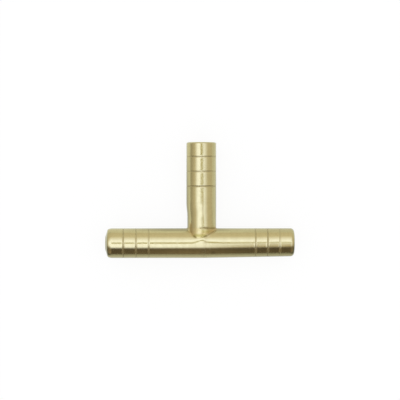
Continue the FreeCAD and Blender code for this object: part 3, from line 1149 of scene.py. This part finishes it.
def make_card(name, points, material):
    """A flat card of the studio from the points of its outline, seen only in the polish."""
    mesh = bpy.data.meshes.new(name)
    mesh.from_pydata(points, [], [range(len(points))])
    mesh.materials.append(material)
    card = bpy.data.objects.new(name, mesh)
    bpy.context.scene.collection.objects.link(card)
    only_reflected(card)


def make_tent(studio):
    """The light tent, seen only in the polish."""
    bpy.ops.mesh.primitive_ico_sphere_add(subdivisions=5, radius=1.0, location=(0, 0, 0))
    tent = bpy.context.object
    tent.name = "light_tent"
    tent.data.materials.append(tent_material(studio))
    only_reflected(tent)


def make_cards(studio):
    """Painted reflections of the table and of a dim card overhead, seen only in the polish."""
    corners = [(-1, -1), (1, -1), (1, 1), (-1, 1)]
    table = [(x * TABLE_REACH, y * TABLE_REACH, TABLE) for x, y in corners]
    make_card("table_card", table, table_material())
    gap = [(x * MM, y * MM, OVERHEAD_CARD_HEIGHT) for x, y in OVERHEAD_CARD_OUTLINE]
    make_card("painted_overhead_card", gap, overhead_reflection_material(studio))


def make_floor(studio):
    """The pale floor, just under the card that stands for it in the polish."""
    under_card = 0.01 * MM
    bpy.ops.mesh.primitive_circle_add(
        vertices=ROUND, radius=2.0, fill_type="NGON", location=(0, 0, TABLE - under_card)
    )
    floor = bpy.context.object
    floor.name = "floor"
    floor.data.materials.append(floor_material(studio))


def make_daylight(scene, studio):
    """Even light from all round, which the floor's shadows need."""
    world = bpy.data.worlds.new("pale room")
    world.use_nodes = True
    background = world.node_tree.nodes["Background"]
    background.inputs["Color"].default_value = (1, 1, 1, 1)
    background.inputs["Strength"].default_value = studio.daylight
    scene.world = world


def make_camera(scene, studio):
    """The photo's camera: almost overhead, and upright over the run."""
    camera = bpy.data.cameras.new("camera")
    eye = Vector((studio.eye_x, studio.eye_y, studio.eye_height))
    aim = Vector((studio.aim_x, studio.aim_y, 0))
    camera.sensor_width = 36.0
    camera.lens = camera.sensor_width * (eye - aim).length / studio.picture_width
    camera.clip_start = 0.01
    camera.clip_end = 10.0
    stand = bpy.data.objects.new("camera", camera)
    ahead = (aim - eye).normalized()
    aside = ahead.cross(Vector((0, 1, 0))).normalized()
    turned = Matrix((aside, aside.cross(ahead), -ahead)).transposed().to_4x4()
    stand.matrix_world = Matrix.Translation(eye) @ turned
    scene.collection.objects.link(stand)
    scene.camera = stand


# Operators


def dress(piece, material, carried):
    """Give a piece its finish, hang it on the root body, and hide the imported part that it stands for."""
    piece.data.materials.append(material)
    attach(piece, "root")
    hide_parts(carried)


class TEE_OT_run(bpy.types.Operator):
    """Make the straight tube"""

    bl_idname = "hosetee.run_tube"
    bl_label = "Run tube"

    def execute(self, context):
        scene = context.scene
        piece = make_run_tube(scene.tee_sizes)
        brass = brass_material("brass_run", scene.tee_finish, RUN_STRETCH)
        dress(piece, brass, "run_tube")
        return {"FINISHED"}


class TEE_OT_branch(bpy.types.Operator):
    """Make the side tube"""

    bl_idname = "hosetee.branch_tube"
    bl_label = "Branch tube"

    def execute(self, context):
        scene = context.scene
        piece = make_branch_tube(scene.tee_sizes)
        brass = brass_material("brass_branch", scene.tee_finish, BRANCH_STRETCH)
        dress(piece, brass, "branch_tube")
        return {"FINISHED"}


class TEE_OT_braze(bpy.types.Operator):
    """Make the collar of brazing filler"""

    bl_idname = "hosetee.braze"
    bl_label = "Brazed seam"

    def execute(self, context):
        scene = context.scene
        piece = make_braze(scene.tee_sizes)
        filler = filler_material("filler", scene.tee_finish)
        dress(piece, filler, "braze_fillet")
        return {"FINISHED"}


class TEE_OT_stage(bpy.types.Operator):
    """Set up the camera, the pale floor and the soft studio light"""

    bl_idname = "hosetee.stage"
    bl_label = "Studio"

    def execute(self, context):
        scene = context.scene
        studio = scene.tee_studio
        scene.view_settings.view_transform = "Standard"
        make_camera(scene, studio)
        make_daylight(scene, studio)
        make_floor(studio)
        make_tent(studio)
        make_cards(studio)
        return {"FINISHED"}


class TEE_PT_panel(bpy.types.Panel):
    """Buttons that make each piece"""

    bl_idname = "TEE_PT_panel"
    bl_label = "Hose tee"
    bl_space_type = "VIEW_3D"
    bl_region_type = "UI"
    bl_category = "Hose tee"

    def draw(self, context):
        for operator in OPERATORS:
            self.layout.operator(operator.bl_idname)
        for group in (context.scene.tee_sizes, context.scene.tee_finish, context.scene.tee_studio):
            box = self.layout.box()
            for key in group.__annotations__:
                box.prop(group, key)


GROUPS = {"tee_sizes": TeeSizes, "tee_finish": BrassFinish, "tee_studio": Studio}
OPERATORS = (TEE_OT_stage, TEE_OT_run, TEE_OT_branch, TEE_OT_braze)
CLASSES = (*GROUPS.values(), *OPERATORS, TEE_PT_panel)


def register():
    for made in CLASSES:
        bpy.utils.register_class(made)
    for name, group in GROUPS.items():
        setattr(bpy.types.Scene, name, bpy.props.PointerProperty(type=group))


def unregister():
    for name in GROUPS:
        delattr(bpy.types.Scene, name)
    for made in reversed(CLASSES):
        bpy.utils.unregister_class(made)


def main():
    register()
    bpy.ops.hosetee.stage()
    bpy.ops.hosetee.run_tube()
    bpy.ops.hosetee.branch_tube()
    bpy.ops.hosetee.braze()


if __name__ == "__main__":
    main()
